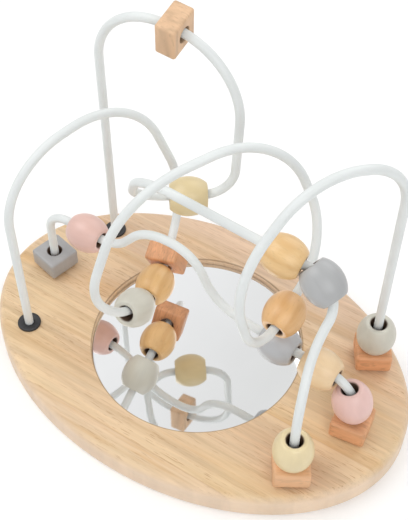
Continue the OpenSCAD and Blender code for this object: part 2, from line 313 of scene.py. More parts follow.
class Shader:
    """One material's node tree, with short ways to add and link nodes."""

    def __init__(self, name):
        self.material = bpy.data.materials.new(name)
        self.material.use_nodes = True
        self.tree = self.material.node_tree
        self.tree.nodes.clear()
        self.out = self.tree.nodes.new("ShaderNodeOutputMaterial")

    def add(self, kind, inputs=None, **settings):
        return node_in(self.tree, kind, inputs, **settings)

    def math(self, operation, first, second=0.0):
        return sum_of(self.tree, operation, first, second)

    def noise(self, at, stretch, detail=2.0, roughness=0.5, distortion=0.0):
        """Noise whose scale along each axis is given, per metre."""
        place = self.add("ShaderNodeMapping", {"Vector": at, "Scale": stretch}).outputs[0]
        return self.add("ShaderNodeTexNoise", {
            "Vector": place, "Scale": 1.0,
            "Detail": detail, "Roughness": roughness, "Distortion": distortion
        }).outputs[0]

    def range(self, value, low, high, new_low, new_high):
        inputs = {"Value": value, "From Min": low, "From Max": high, "To Min": new_low, "To Max": new_high}
        return self.add("ShaderNodeMapRange", inputs).outputs[0]

    def ramp(self, value, *stops):
        node = self.add("ShaderNodeValToRGB", {0: value})
        while len(node.color_ramp.elements) < len(stops):
            node.color_ramp.elements.new(0.5)
        for element, (place, shade) in zip(node.color_ramp.elements, stops):
            element.position = place
            element.color = (*shade, 1)
        return node.outputs[0]

    def mix(self, share, first, second, blend="MIX"):
        first, second = (
            shade if isinstance(shade, bpy.types.NodeSocket) else (*shade[:3], 1) for shade in (first, second)
        )
        inputs = {0: share, 6: first, 7: second}
        return self.add("ShaderNodeMix", inputs, data_type="RGBA", blend_type=blend).outputs[2]

    def shaded(self, share, base, value, *stops):
        """A colour darkened or lightened by a ramp over a value."""
        return self.mix(share, base, self.ramp(value, *stops), "MULTIPLY")

    def bump(self, height, strength, distance):
        inputs = {"Height": height, "Strength": strength, "Distance": distance}
        return self.add("ShaderNodeBump", inputs).outputs[0]

    def surface(self, **sockets):
        names = {key.replace("_", " ").title(): value for key, value in sockets.items()}
        names = {key.replace("Ior", "IOR"): value for key, value in names.items()}
        node = self.add("ShaderNodeBsdfPrincipled", names)
        self.tree.links.new(node.outputs[0], self.out.inputs["Surface"])
        return self.material


def tint(shade, factor):
    """A lighter or darker shade of a linear colour."""
    return tuple(min(1.0, max(0.0, value * factor)) for value in shade)


def object_place(shader):
    return shader.add("ShaderNodeTexCoord").outputs["Object"]


def piece_place(shader):
    """Place on a bead or block in its own frame, its bore along Z."""
    return shader.add("ShaderNodeAttribute", attribute_name="grain_at").outputs["Vector"]


def piece_value(shader, name):
    return shader.add("ShaderNodeAttribute", attribute_name=name).outputs["Fac"]


def middle_distance(shader, at):
    """Distance from the upright line through the middle of the mirror."""
    flat = shader.add("ShaderNodeVectorMath", {0: at, 1: (1, 1, 0)}, operation="MULTIPLY").outputs[0]
    return shader.add("ShaderNodeVectorMath", {0: flat}, operation="LENGTH").outputs["Value"]


def board_wood(sizes, colours):
    """Pale strips glued side by side: long streaks, fine fibres and short dark pores along X, with painted
    shade along the top of the pocket wall.
    """
    shader = Shader("board_wood")
    at = object_place(shader)
    across = shader.add("ShaderNodeSeparateXYZ", {0: at}).outputs[1]
    strips = shader.math("ADD", shader.math("DIVIDE", across, sizes.strip_width), STRIP_START_SHARE)
    number = shader.math("FLOOR", strips)
    steps = shader.math("MULTIPLY", number, STRIP_TONE_STEP)
    strip = shader.math("FRACT", shader.math("ADD", steps, STRIP_TONE_START))
    shift = shader.add("ShaderNodeCombineXYZ", {0: strip, 1: number, 2: strip}).outputs[0]
    moved = shader.add("ShaderNodeVectorMath", {0: at, 1: shift}, operation="ADD").outputs[0]
    figure = shader.noise(moved, (7, 75, 60), detail=3, roughness=0.55, distortion=0.6)
    fibres = shader.noise(moved, (24, 460, 460), detail=3, roughness=0.6)
    lines = shader.noise(moved, (5, 260, 260), detail=4, roughness=0.65, distortion=0.3)
    pores = shader.noise(moved, (150, 2300, 2300), detail=1)
    patches = shader.noise(moved, (14, 70, 70), detail=2)
    light = tint(colours.board, 1.06)
    base = shader.ramp(figure, (0.3, light), (0.52, colours.board), (0.72, colours.board_streak))
    base = shader.shaded(0.65, base, fibres, (0.32, even(0.82)), (0.66, even(1.02)))
    base = shader.shaded(0.75, base, lines, (0.36, (0.86, 0.82, 0.77)), (0.58, even(1.02)))
    tones = ((0.1, (1.0, 0.99, 0.94)), (0.7, (1.01, 1.0, 0.95)), (0.95, (1.0, 0.99, 1.07)))
    base = shader.shaded(0.8, base, strip, *tones)
    zones = shader.noise(moved, (7, 24, 24), detail=2)
    warmth = ((0.35, (0.97, 0.93, 0.92)), (0.5, (0.99, 0.98, 0.97)), (0.65, (1.0, 1.0, 0.93)))
    base = shader.shaded(1.0, base, zones, *warmth)
    cluster = shader.range(patches, 0.4, 0.62, 0.15, 0.6)
    dark = shader.math("MULTIPLY", shader.range(pores, 0.61, 0.69, 0.0, 1.0), cluster)
    base = shader.mix(dark, base, colours.pore)
    joint = shader.math("ABSOLUTE", shader.math("SUBTRACT", shader.math("FRACT", strips), 0.5))
    seam = shader.range(joint, 0.488, 0.5, 0.0, 0.22)
    base = shader.mix(seam, base, colours.pore)
    facing = shader.add("ShaderNodeNewGeometry").outputs["Normal"]
    upright = shader.add("ShaderNodeSeparateXYZ", {0: facing}).outputs[2]
    side = shader.range(upright, 0.2, 0.95, 0.75, 0.0)
    wall_start, wall_end = (mirror_radius + step for step in POCKET_WALL)
    near = shader.range(middle_distance(shader, at), wall_start, wall_end, 1.0, 0.0)
    level = shader.add("ShaderNodeSeparateXYZ", {0: at}).outputs[2]
    # Painted shade along the top of the pocket wall and its rounded lip: how far down from the board's top it
    # reaches.
    lip_shade_start, lip_shade_end = (board_top - step for step in POCKET_LIP_SHADE)
    edge = shader.range(level, lip_shade_start, lip_shade_end, 0.0, 0.55)
    outside = shader.math("MULTIPLY", side, shader.math("SUBTRACT", 1.0, near))
    bands = shader.noise(at, (85, 60, 10), detail=3, roughness=0.6)
    early, late = (tint(colours.board_side, factor) for factor in (0.9, 1.03))
    end_grain = shader.ramp(bands, (0.35, early), (0.6, late))
    base = shader.mix(outside, base, end_grain)
    # Painted shade on the pocket wall's top and lip, in a darkened pore brown.
    base = shader.mix(shader.math("MULTIPLY", near, edge), base, tint(colours.pore, 0.35))
    height = shader.math("SUBTRACT", fibres, shader.math("MULTIPLY", dark, 0.8))
    return shader.surface(
        base_color=base,
        roughness=shader.range(fibres, 0.3, 0.7, 0.42, 0.56),
        normal=shader.bump(height, 0.25, GRAIN_RELIEF),
    )


def mirror_glass(colours):
    """Flat acrylic mirror with the faintest haze, a painted reflection that darkens it along X and painted
    shade just inside its rim.
    """
    shader = Shader("mirror")
    at = object_place(shader)
    haze = shader.noise(at, (30, 30, 30), detail=3)
    base = shader.ramp(haze, (0.3, tint(colours.mirror, 0.97)), (0.7, colours.mirror))
    # Painted reflection: the mirror's colour darkens from its -X edge towards its +X edge.
    along = shader.add("ShaderNodeSeparateXYZ", {0: at}).outputs[0]
    reflection_fall = shader.range(along, mirror_low.x, mirror_high.x, 0.0, 1.0)
    base = shader.shaded(1.0, base, reflection_fall, (0.2, even(1.0)), (0.9, (0.86, 0.86, 0.85)))
    # Painted shade: a thin dark ring in the bore colour just inside the mirror's rim.
    rim_shade_start, rim_shade_end = (mirror_radius - step for step in MIRROR_RIM_SHADE)
    rim = shader.range(middle_distance(shader, at), rim_shade_start, rim_shade_end, 0.0, 0.15)
    base = shader.mix(rim, base, colours.bore)
    return shader.surface(
        base_color=base,
        metallic=1.0,
        roughness=shader.range(haze, 0.3, 0.7, 0.012, 0.035),
    )


def pad_foam(colours):
    shader = Shader("pad")
    cells = shader.noise(object_place(shader), (900, 900, 900), detail=2)
    base = shader.ramp(cells, (0.3, tint(colours.pad, 0.8)), (0.7, colours.pad))
    return shader.surface(base_color=base, roughness=0.9, normal=shader.bump(cells, 0.4, GRAIN_RELIEF))


def wire_coat(colours):
    """Smooth satin coat, slightly uneven where it was sprayed."""
    shader = Shader("coated_wire")
    at = object_place(shader)
    cloud = shader.noise(at, (60, 60, 60), detail=2)
    peel = shader.noise(at, (1100, 1100, 1100), detail=1)
    base = shader.ramp(cloud, (0.3, tint(colours.wire, 0.96)), (0.7, tint(colours.wire, 1.02)))
    return shader.surface(
        base_color=base,
        roughness=shader.range(cloud, 0.3, 0.7, 0.34, 0.42),
        specular_ior_level=0.45,
        normal=shader.bump(peel, 0.06, COAT_RELIEF),
    )


def bushing_rubber(colours):
    shader = Shader("bushing_rubber")
    at = object_place(shader)
    dust = shader.noise(at, (260, 260, 260), detail=3)
    speck = shader.noise(at, (2400, 2400, 2400), detail=1)
    base = shader.ramp(dust, (0.35, tint(colours.rubber, 0.8)), (0.75, tint(colours.rubber, 1.5)))
    return shader.surface(
        base_color=base,
        roughness=shader.range(dust, 0.3, 0.7, 0.42, 0.6),
        normal=shader.bump(speck, 0.15, COAT_RELIEF),
    )


def raw_bore_with_painted_shade(shader, base, at, bare_in_shade):
    """The bore shows unpainted wood, made darker than the outside with painted shade."""
    fibre = shader.noise(at, (900, 900, 120), detail=2)
    raw = shader.ramp(fibre, (0.3, tint(bare_in_shade, 0.75)), (0.7, tint(bare_in_shade, 1.1)))
    return shader.mix(piece_value(shader, "raw"), base, raw)


def toned(shader, base, dark, middle):
    """A colour set between dark and light by the piece's own tone."""
    stops = ((0.0, dark), (0.5, middle), (1.0, even(1.0)))
    return shader.shaded(0.9, base, piece_value(shader, "tone"), *stops)


def paled(shader, base, share, levels):
    """A colour drawn towards a pale one on the lightest half of the tones."""
    pale = shader.range(piece_value(shader, "tone"), 0.5, 1.0, 0.0, share)
    return shader.mix(pale, base, linear(*levels))


def satin_paint(name, shade, colours, depth=0.08):
    """Thin satin paint that lets the grain through faintly."""
    shader = Shader(name)
    at = piece_place(shader)
    grain = shader.noise(at, (420, 420, 55), detail=3, distortion=0.4)
    cloud = shader.noise(at, (95, 95, 40), detail=2)
    base = shader.ramp(cloud, (0.3, tint(shade, 0.95)), (0.7, tint(shade, 1.03)))
    base = shader.shaded(depth, base, grain, (0.3, even(0.55)), (0.65, even(1.0)))
    base = toned(shader, base, (0.88, 0.85, 0.78), even(0.95))
    base = raw_bore_with_painted_shade(shader, base, at, colours.bore)
    return shader.surface(
        base_color=base,
        roughness=shader.range(grain, 0.3, 0.7, 0.28, 0.34),
        specular_ior_level=0.5,
        normal=shader.bump(grain, 0.05, COAT_RELIEF),
    )


def turned_wood(name, shade, colours):
    """Clear finished wood turned on its bore: soft growth bands, fibres along the bore and flecks."""
    shader = Shader(name)
    at = piece_place(shader)
    sway = shader.noise(at, (60, 60, 26), detail=2)
    across = shader.add("ShaderNodeSeparateXYZ", {0: at}).outputs[0]
    bands = shader.math("ADD", shader.math("MULTIPLY", across, 360.0), shader.math("MULTIPLY", sway, 5.0))
    wave = shader.math("SINE", shader.math("MULTIPLY", bands, 2.2))
    band = shader.range(wave, -1.0, 1.0, 0.0, 1.0)
    fibres = shader.noise(at, (700, 700, 70), detail=3)
    flecks = shader.noise(at, (1500, 1500, 240), detail=1)
    late = (0.94 * shade[0], 0.89 * shade[1], 0.82 * shade[2])
    base = shader.ramp(band, (0.0, tint(shade, 1.05)), (0.6, shade), (1.0, late))
    base = shader.shaded(0.4, base, fibres, (0.3, (0.90, 0.80, 0.66)), (0.65, even(1.0)))
    base = shader.mix(shader.range(flecks, 0.62, 0.7, 0.0, 0.2), base, tint(shade, 0.65))
    base = toned(shader, base, (0.92, 0.83, 0.72), (0.98, 0.97, 0.95))
    base = paled(shader, base, 0.45, PALE_TURNED)
    base = raw_bore_with_painted_shade(shader, base, at, colours.bore)
    return shader.surface(
        base_color=base,
        roughness=shader.range(fibres, 0.3, 0.7, 0.29, 0.38),
        specular_ior_level=0.5,
        normal=shader.bump(fibres, 0.12, GRAIN_RELIEF),
    )


def block_wood(name, shade, depth=0.6):
    """Beech cut square: grain along the block's own X, short ray flecks and rings on the ends."""
    shader = Shader(name)
    at = piece_place(shader)
    sway = shader.noise(at, (22, 90, 90), detail=2)
    parts = shader.add("ShaderNodeSeparateXYZ", {0: at})
    rows = shader.math("MULTIPLY", parts.outputs[1], 420.0)
    arc = shader.math("ADD", rows, shader.math("MULTIPLY", sway, 7.0))
    bow = shader.math("MULTIPLY", shader.math("MULTIPLY", parts.outputs[2], parts.outputs[2]), 26000.0)
    wave = shader.math("SINE", shader.math("ADD", shader.math("MULTIPLY", arc, 2.0), bow))
    band = shader.range(wave, -1.0, 1.0, 0.0, 1.0)
    fibres = shader.noise(at, (55, 850, 260), detail=4, roughness=0.6)
    rays = shader.noise(at, (200, 1500, 420), detail=1)
    base = shader.ramp(band, (0.0, tint(shade, 1.06)), (0.6, shade), (1.0, tint(shade, 0.90)))
    base = shader.shaded(depth, base, fibres, (0.34, (0.74, 0.68, 0.62)), (0.62, even(1.05)))
    base = shader.mix(shader.range(rays, 0.6, 0.67, 0.0, 0.7 * depth), base, tint(shade, 0.55))
    base = toned(shader, base, (0.90, 0.85, 0.80), (0.98, 0.96, 0.94))
    base = paled(shader, base, 0.5, PALE_BEECH)
    # Painted shade: the bore is the block's own beech at half its colour.
    base = raw_bore_with_painted_shade(shader, base, at, tint(shade, 0.5))
    return shader.surface(
        base_color=base,
        roughness=shader.range(fibres, 0.3, 0.7, 0.46, 0.58),
        normal=shader.bump(fibres, 0.18, GRAIN_RELIEF),
    )


FINISHES = {}


def finish_of(slot):
    """The material of a slot, made once."""
    if slot not in FINISHES:
        colours = bpy.context.scene.maze_colours
        makers = {
            "board_wood": lambda: board_wood(bpy.context.scene.maze_sizes, colours),
            "mirror": lambda: mirror_glass(colours),
            "pad": lambda: pad_foam(colours),
            "coated_wire": lambda: wire_coat(colours),
            "bushing_rubber": lambda: bushing_rubber(colours),
            "paint_pink": lambda: satin_paint(slot, colours.pink, colours),
            "paint_grey": lambda: satin_paint(slot, colours.grey, colours),
            "paint_pale": lambda: satin_paint(slot, colours.pale, colours),
            "paint_yellow": lambda: satin_paint(slot, colours.yellow, colours),
            "paint_grey_block": lambda: satin_paint(slot, colours.block_grey, colours, depth=0.14),
            "wood_natural": lambda: turned_wood(slot, colours.natural, colours),
            "wood_orange": lambda: turned_wood(slot, colours.orange, colours),
            "wood_beech": lambda: block_wood(slot, colours.beech),
            "wood_light_beech": lambda: block_wood(slot, colours.light_beech, depth=0.3),
        }
        FINISHES[slot] = makers[slot]()
    return FINISHES[slot]


def add_piece(name, mesh, slot, body, node):
    """Puts a finished mesh in the scene as a piece that rides on a body and stands for its node."""
    piece = bpy.data.objects.new(name, mesh)
    bpy.context.scene.collection.objects.link(piece)
    if not mesh.materials:
        mesh.materials.append(finish_of(slot))
    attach(piece, body)
    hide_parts(node)
    return piece


def smooth(mesh, angle):
    """Smooth shading with the edges over an angle in degrees kept sharp."""
    for polygon in mesh.polygons:
        polygon.use_smooth = True
    mesh.set_sharp_from_angle(angle=math.radians(angle))


def mesh_from(shape, name):
    bmesh.ops.recalc_face_normals(shape, faces=shape.faces)
    mesh = bpy.data.meshes.new(name)
    shape.to_mesh(mesh)
    shape.free()
    return mesh


def join_rings(shape, rings, closed=False):
    """Faces between neighbouring rings of vertices, and from the last to the first if closed."""
    pairs = list(zip(rings, rings[1:]))
    if closed:
        pairs.append((rings[-1], rings[0]))
    for first, second in pairs:
        for k in range(len(first)):
            n = (k + 1) % len(first)
            shape.faces.new((first[k], first[n], second[n], second[k]))


def feet():
    """Places on the board where a wire goes in."""
    ends = [route[end] for route in ROUTES.values() for end in (0, -1)]
    return [(share[0] * half_length, share[1] * half_width) for share in ends]


def quarter(steps):
    """Even turns from nothing to a right angle."""
    return [math.pi / 2 * k / steps for k in range(steps + 1)]


def oval_ring(shape, half_x, half_y, height, count, centre=(0, 0)):
    ring = []
    for k in range(count):
        turn = math.tau * k / count
        x = centre[0] + half_x * math.cos(turn)
        y = centre[1] + half_y * math.sin(turn)
        ring.append(shape.verts.new((x, y, height)))
    return ring


def round_ring(shape, radius, height, count, centre=(0, 0)):
    return oval_ring(shape, radius, radius, height, count, centre)


def board_mesh(sizes):
    """The oval plate with its rounded edges and round pocket, before the bores."""
    shape = bmesh.new()

    def edge_ring(inset, height):
        return oval_ring(shape, half_length - inset, half_width - inset, height, OVAL_POINTS)

    pocket = (mirror_high.x - mirror_low.x) / 2 + POCKET_PLAY
    rings = [round_ring(shape, pocket, pocket_floor, OVAL_POINTS)]
    for turn in quarter(EDGE_STEPS):
        widen = sizes.pocket_edge * (1 - math.cos(turn))
        lift = sizes.pocket_edge * (1 - math.sin(turn))
        rings.append(round_ring(shape, pocket + widen, board_top - lift, OVAL_POINTS))
    for turn in quarter(BOARD_STEPS):
        inset = sizes.board_top_round * (1 - math.sin(turn))
        drop = sizes.board_top_round * (1 - math.cos(turn))
        rings.append(edge_ring(inset, board_top - drop))
    for turn in quarter(BOARD_STEPS):
        inset = sizes.board_under_round * (1 - math.cos(turn))
        lift = sizes.board_under_round * (1 - math.sin(turn))
        rings.append(edge_ring(inset, board_low.z + lift))
    join_rings(shape, rings)
    shape.faces.new(rings[0])
    shape.faces.new(rings[-1])
    return mesh_from(shape, "board")


def bore_holes(mesh, sizes):
    """Cuts the blind bores for the bushings and wire feet out of the board."""
    shape = bmesh.new()
    radius = sizes.sleeve_diameter / 2 + FIT_PLAY
    for foot in feet():
        low = round_ring(shape, radius, wire_foot, BORE_POINTS, foot)
        high = round_ring(shape, radius, board_top + CUTTER_OVERRUN, BORE_POINTS, foot)
        join_rings(shape, [low, high])
        shape.faces.new(low)
        shape.faces.new(high)
    cutter = bpy.data.objects.new("bores", mesh_from(shape, "bores"))
    plate = bpy.data.objects.new("plate", mesh)
    for thing in (cutter, plate):
        bpy.context.scene.collection.objects.link(thing)
    cut = plate.modifiers.new("bores", "BOOLEAN")
    cut.operation = "DIFFERENCE"
    cut.solver = "EXACT"
    cut.object = cutter
    bpy.context.view_layer.update()
    result = bpy.data.meshes.new_from_object(plate.evaluated_get(bpy.context.evaluated_depsgraph_get()))
    for thing in (cutter, plate):
        bpy.data.objects.remove(thing)
    return result


class MAZE_OT_board(Operator):
    """Makes the oval board with its pocket and bores"""
    bl_idname = "maze.board"
    bl_label = "Board"

    def execute(self, context):
        sizes = context.scene.maze_sizes
        mesh = bore_holes(board_mesh(sizes), sizes)
        smooth(mesh, BOARD_SHARP)
        add_piece("board", mesh, "board_wood", "frame", "base_board")
        return {"FINISHED"}


class MAZE_OT_mirror(Operator):
    """Finishes the mirror and the pad that holds it"""
    bl_idname = "maze.mirror"
    bl_label = "Mirror"

    def execute(self, context):
        for node, slot in (("mirror_disc", "mirror"), ("mirror_pad", "pad")):
            mesh = frame["nodes"][node].data
            mesh.materials.clear()
            mesh.materials.append(finish_of(slot))
        return {"FINISHED"}


class MAZE_OT_bushings(Operator):
    """Makes the six bushings that the wires stand in"""
    bl_idname = "maze.bushings"
    bl_label = "Bushings"

    def execute(self, context):
        sizes = context.scene.maze_sizes
        inner = sizes.wire_diameter / 2 + FIT_PLAY
        sleeve = sizes.sleeve_diameter / 2
        rim = sizes.flange_diameter / 2
        edge = sizes.flange_edge
        top = bushing_top
        outline = [
            (inner, board_top - sizes.sleeve_length),
            (sleeve, board_top - sizes.sleeve_length),
            (sleeve, board_top),
            (rim - edge / 4, board_top),
            (rim, board_top + edge / 4),
        ]
        for turn in quarter(EDGE_STEPS):
            outline.append((rim - edge + edge * math.cos(turn), top - edge + edge * math.sin(turn)))
        outline += [(inner + edge / 2, top), (inner, top - edge / 2)]
        shape = bmesh.new()
        for foot in feet():
            rings = [round_ring(shape, radius, height, FLANGE_POINTS, foot) for radius, height in outline]
            join_rings(shape, rings, closed=True)
        mesh = mesh_from(shape, "bushings")
        smooth(mesh, BUSHING_SHARP)
        add_piece("bushings", mesh, "bushing_rubber", "frame", "wire_bushings")
        return {"FINISHED"}


def route_points(route):
    """Points along a wire's middle: straight runs and round bends."""
    def place(share):
        return Vector((share[0] * half_length, share[1] * half_width, board_top + share[2]))
    corners = [place(share) for share in route]
    first = Vector((corners[0].x, corners[0].y, wire_foot))
    final = Vector((corners[-1].x, corners[-1].y, wire_foot))
    chain = [first] + corners + [final]
    points = [first]
    for k, share in enumerate(route):
        before, corner, after = chain[k:k + 3]
        into = (corner - before).normalized()
        out_of = (after - corner).normalized()
        angle = into.angle(out_of)
        reach = share[3] * min((corner - before).length, (after - corner).length)
        radius = reach / math.tan(angle / 2)
        axis = into.cross(out_of).normalized()
        inward = axis.cross(into)
        start = corner - reach * into
        steps = max(LEAST_BEND_STEPS, round(math.degrees(angle) / DEGREES_PER_STEP))
        for s in range(steps + 1):
            turn = angle * s / steps
            points.append(start + radius * (math.sin(turn) * into + (1 - math.cos(turn)) * inward))
    return points + [final]


def new_tree(name, inputs):
    """An empty geometry node tree with named inputs and one geometry output."""
    tree = bpy.data.node_groups.new(name, "GeometryNodeTree")
    sockets = {}
    for label, kind in inputs:
        sockets[label] = tree.interface.new_socket(label, in_out="INPUT", socket_type="NodeSocket" + kind)
    tree.interface.new_socket("Geometry", in_out="OUTPUT", socket_type="NodeSocketGeometry")
    start = tree.nodes.new("NodeGroupInput")
    end = tree.nodes.new("NodeGroupOutput")
    return tree, sockets, start, end


def finish_tree(tree, geometry, finish, end):
    """Smooths the tree's mesh, gives it its material and hands it on."""
    shade = node_in(tree, "GeometryNodeSetShadeSmooth", {"Geometry": geometry})
    whole = node_in(tree, "GeometryNodeRealizeInstances", {0: shade.outputs[0]})
    dressed = node_in(tree, "GeometryNodeSetMaterial", {"Geometry": whole.outputs[0], "Material": finish})
    tree.links.new(dressed.outputs[0], end.inputs[0])


def run_tree(tree, sockets, start_data, values, name):
    """Runs a tree on a new object and returns the result as a plain mesh."""
    thing = bpy.data.objects.new(name + "_source", start_data)
    bpy.context.scene.collection.objects.link(thing)
    modifier = thing.modifiers.new(tree.name, "NODES")
    modifier.node_group = tree
    for label, value in values.items():
        modifier[sockets[label].identifier] = value
    thing.update_tag()
    bpy.context.view_layer.update()
    mesh = bpy.data.meshes.new_from_object(thing.evaluated_get(bpy.context.evaluated_depsgraph_get()))
    mesh.name = name
    bpy.data.objects.remove(thing)
    return mesh


def wire_tree():
    """Sweeps a round coat along the curve that the tree is given."""
    tree, sockets, start, end = new_tree("Swept wire", (
        ("Geometry", "Geometry"),
        ("Diameter", "Float"),
        ("Finish", "Material"),
    ))
    add = partial(node_in, tree)
    radius = sum_of(tree, "DIVIDE", start.outputs["Diameter"], 2.0)
    ring = add("GeometryNodeCurvePrimitiveCircle", {"Resolution": WIRE_POINTS, "Radius": radius})
    sweep = add("GeometryNodeCurveToMesh", {
        "Curve": start.outputs["Geometry"], "Profile Curve": ring.outputs[0], "Fill Caps": True
    })
    finish_tree(tree, sweep.outputs[0], start.outputs["Finish"], end)
    return tree, sockets


class MAZE_OT_wires(Operator):
    """Sweeps the three coated wires along their routes"""
    bl_idname = "maze.wires"
    bl_label = "Wires"

    def execute(self, context):
        sizes = context.scene.maze_sizes
        tree, sockets = wire_tree()
        for node, route in ROUTES.items():
            points = route_points(route)
            curve = bpy.data.curves.new(node + "_route", "CURVE")
            curve.dimensions = "3D"
            spline = curve.splines.new("POLY")
            spline.points.add(len(points) - 1)
            for target, point in zip(spline.points, points):
                target.co = (*point, 1)
            values = {"Diameter": sizes.wire_diameter, "Finish": finish_of("coated_wire")}
            mesh = run_tree(tree, sockets, curve, values, node)
            smooth(mesh, WIRE_SHARP)
            add_piece(node.replace("wire", "rod"), mesh, "coated_wire", "frame", node)
        return {"FINISHED"}


def bead_tree():
    """Turns a barrel outline round its bore and sets the bead on its wire."""
    tree, sockets, start, end = new_tree("Turned bead", (
        ("Diameter", "Float"),
        ("Length", "Float"),
        ("End", "Float"),
        ("Bore", "Float"),
        ("Edge", "Float"),
        ("Centre", "Vector"),
        ("Axis", "Vector"),
        ("Shift", "Vector"),
        ("Tone", "Float"),
        ("Finish", "Material"),
    ))
    given = start.outputs
    add = partial(node_in, tree)
    maths = partial(sum_of, tree)
    last = BEAD_STEPS
    line = add("GeometryNodeMeshLine", {"Count": last + 3})
    index = add("GeometryNodeInputIndex").outputs[0]
    share = maths("SUBTRACT", maths("DIVIDE", index, float(last)), 0.5)
    along = maths("MULTIPLY", share, given["Length"])
    narrow = maths("DIVIDE", given["End"], given["Diameter"])
    flat = maths("SUBTRACT", 1.0, maths("MULTIPLY", narrow, narrow))
    squared = maths("MULTIPLY", share, share)
    bulge = maths("MULTIPLY", squared, maths("MULTIPLY", flat, 4.0))
    curve_out = maths("SQRT", maths("SUBTRACT", 1.0, bulge))
    outer = maths("MULTIPLY", curve_out, maths("DIVIDE", given["Diameter"], 2.0))
    bore = maths("DIVIDE", given["Bore"], 2.0)
    is_bore = maths("GREATER_THAN", index, last + 0.5)
    is_low = maths("GREATER_THAN", index, last + 1.5)
    half = maths("DIVIDE", given["Length"], 2.0)
    up_or_down = maths("SUBTRACT", 1.0, maths("MULTIPLY", is_low, 2.0))
    bore_height = maths("MULTIPLY", half, up_or_down)

    def either(test, first, second):
        node = add("ShaderNodeMix", {0: test, 2: first, 3: second}, data_type="FLOAT")
        return node.outputs[0]

    radius = either(is_bore, outer, bore)
    height = either(is_bore, along, bore_height)
    middle = maths("DIVIDE", given["Diameter"], 3.0)
    away = maths("SUBTRACT", radius, middle)
    spot = add("ShaderNodeCombineXYZ", {0: away, 1: height}).outputs[0]
    shaped = add("GeometryNodeSetPosition", {"Geometry": line.outputs[0], "Position": spot})
    outline = add("GeometryNodeMeshToCurve", {"Mesh": shaped.outputs[0]})
    loop = add("GeometryNodeSetSplineCyclic", {"Geometry": outline.outputs[0], "Cyclic": True})
    is_end = maths("GREATER_THAN", index, last - 0.5)
    is_first = maths("LESS_THAN", index, 0.5)
    corner = maths("MAXIMUM", is_end, is_first)
    soft = maths("MULTIPLY", corner, given["Edge"])
    rounded = add("GeometryNodeFilletCurve", {
        "Curve": loop.outputs[0], "Radius": soft, "Count": BEAD_EDGE_STEPS, "Limit Radius": True
    }, mode="POLY")
    ring = add("GeometryNodeCurvePrimitiveCircle", {"Resolution": BEAD_POINTS, "Radius": middle})
    turned = add("GeometryNodeCurveToMesh", {
        "Curve": ring.outputs[0], "Profile Curve": rounded.outputs[0]
    })
    place = add("GeometryNodeInputPosition").outputs[0]
    grain = add("ShaderNodeVectorMath", {0: place, 1: given["Shift"]}, operation="ADD").outputs[0]
    split = add("ShaderNodeSeparateXYZ", {0: place})
    flatways = add("ShaderNodeCombineXYZ", {0: split.outputs[0], 1: split.outputs[1]}).outputs[0]
    reach = add("ShaderNodeVectorMath", {0: flatways}, operation="LENGTH").outputs["Value"]
    # The bore and its mouth carry the share of raw wood in painted shade.
    mouth = maths("ADD", bore, maths("MULTIPLY", given["Edge"], 0.8))
    inside = add("ShaderNodeMapRange", {
        "Value": reach, "From Min": mouth, "From Max": bore, "To Min": 0.0, "To Max": 1.0
    }).outputs[0]
    made = turned.outputs[0]
    for name, value, kind in (
        ("grain_at", grain, "FLOAT_VECTOR"),
        ("raw", inside, "FLOAT"),
        ("tone", given["Tone"], "FLOAT"),
    ):
        made = add("GeometryNodeStoreNamedAttribute", {
            "Geometry": made, "Name": name, "Value": value
        }, data_type=kind, domain="POINT").outputs[0]
    turn = add("FunctionNodeAlignRotationToVector", {"Vector": given["Axis"]}, axis="Z")
    seated = add("GeometryNodeTransform", {
        "Geometry": made, "Translation": given["Centre"], "Rotation": turn.outputs[0]
    })
    finish_tree(tree, seated.outputs[0], given["Finish"], end)
    return tree, sockets


def seat_of(node):
    """The middle of a bead or block and the direction of its bore, from its box and its joint."""
    low, high = (Vector(corner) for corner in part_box(node))
    centre = (low + high) / 2
    joint = joint_of[node]
    axis = Vector(joint["axis"])
    if joint["type"] == "hinge":
        axis = axis.cross(centre - Vector(joint["pos_m"]))
    return centre, axis.normalized()


class MAZE_OT_beads(Operator):
    """Turns the twelve beads"""
    bl_idname = "maze.beads"
    bl_label = "Beads"

    def execute(self, context):
        sizes = context.scene.maze_sizes
        tree, sockets = bead_tree()
        for k, (node, (slot, tone)) in enumerate(BEADS.items()):
            centre, axis = seat_of(node)
            values = {
                "Diameter": sizes.bead_diameter,
                "Length": sizes.bead_length,
                "End": sizes.bead_end,
                "Bore": sizes.bore_diameter,
                "Edge": sizes.bead_edge,
                "Centre": centre,
                "Axis": axis,
                "Shift": [step * k for step in BEAD_GRAIN],
                "Tone": tone,
                "Finish": finish_of(slot),
            }
            mesh = run_tree(tree, sockets, bpy.data.meshes.new(node), values, node)
            add_piece(node.replace("_bead", "_barrel"), mesh, slot, node, node)
        return {"FINISHED"}


def square_outline(half, corner, arc_steps=6, side_steps=6):
    """Points round a square with rounded corners, the same count at every size."""
    def on_corner(turn, angle):
        middle = Vector((half - corner, half - corner, 0))
        middle.rotate(Matrix.Rotation(turn, 3, "Z"))
        return (middle.x + corner * math.cos(angle), middle.y + corner * math.sin(angle))

    points = []
    for side in range(4):
        turn = math.pi / 2 * side
        points += [on_corner(turn, turn + rise) for rise in quarter(arc_steps)]
        here = points[-1]
        end = on_corner(turn + math.pi / 2, turn + math.pi / 2)
        for s in range(1, side_steps):
            share = s / side_steps
            points.append((here[0] + (end[0] - here[0]) * share, here[1] + (end[1] - here[1]) * share))
    return points


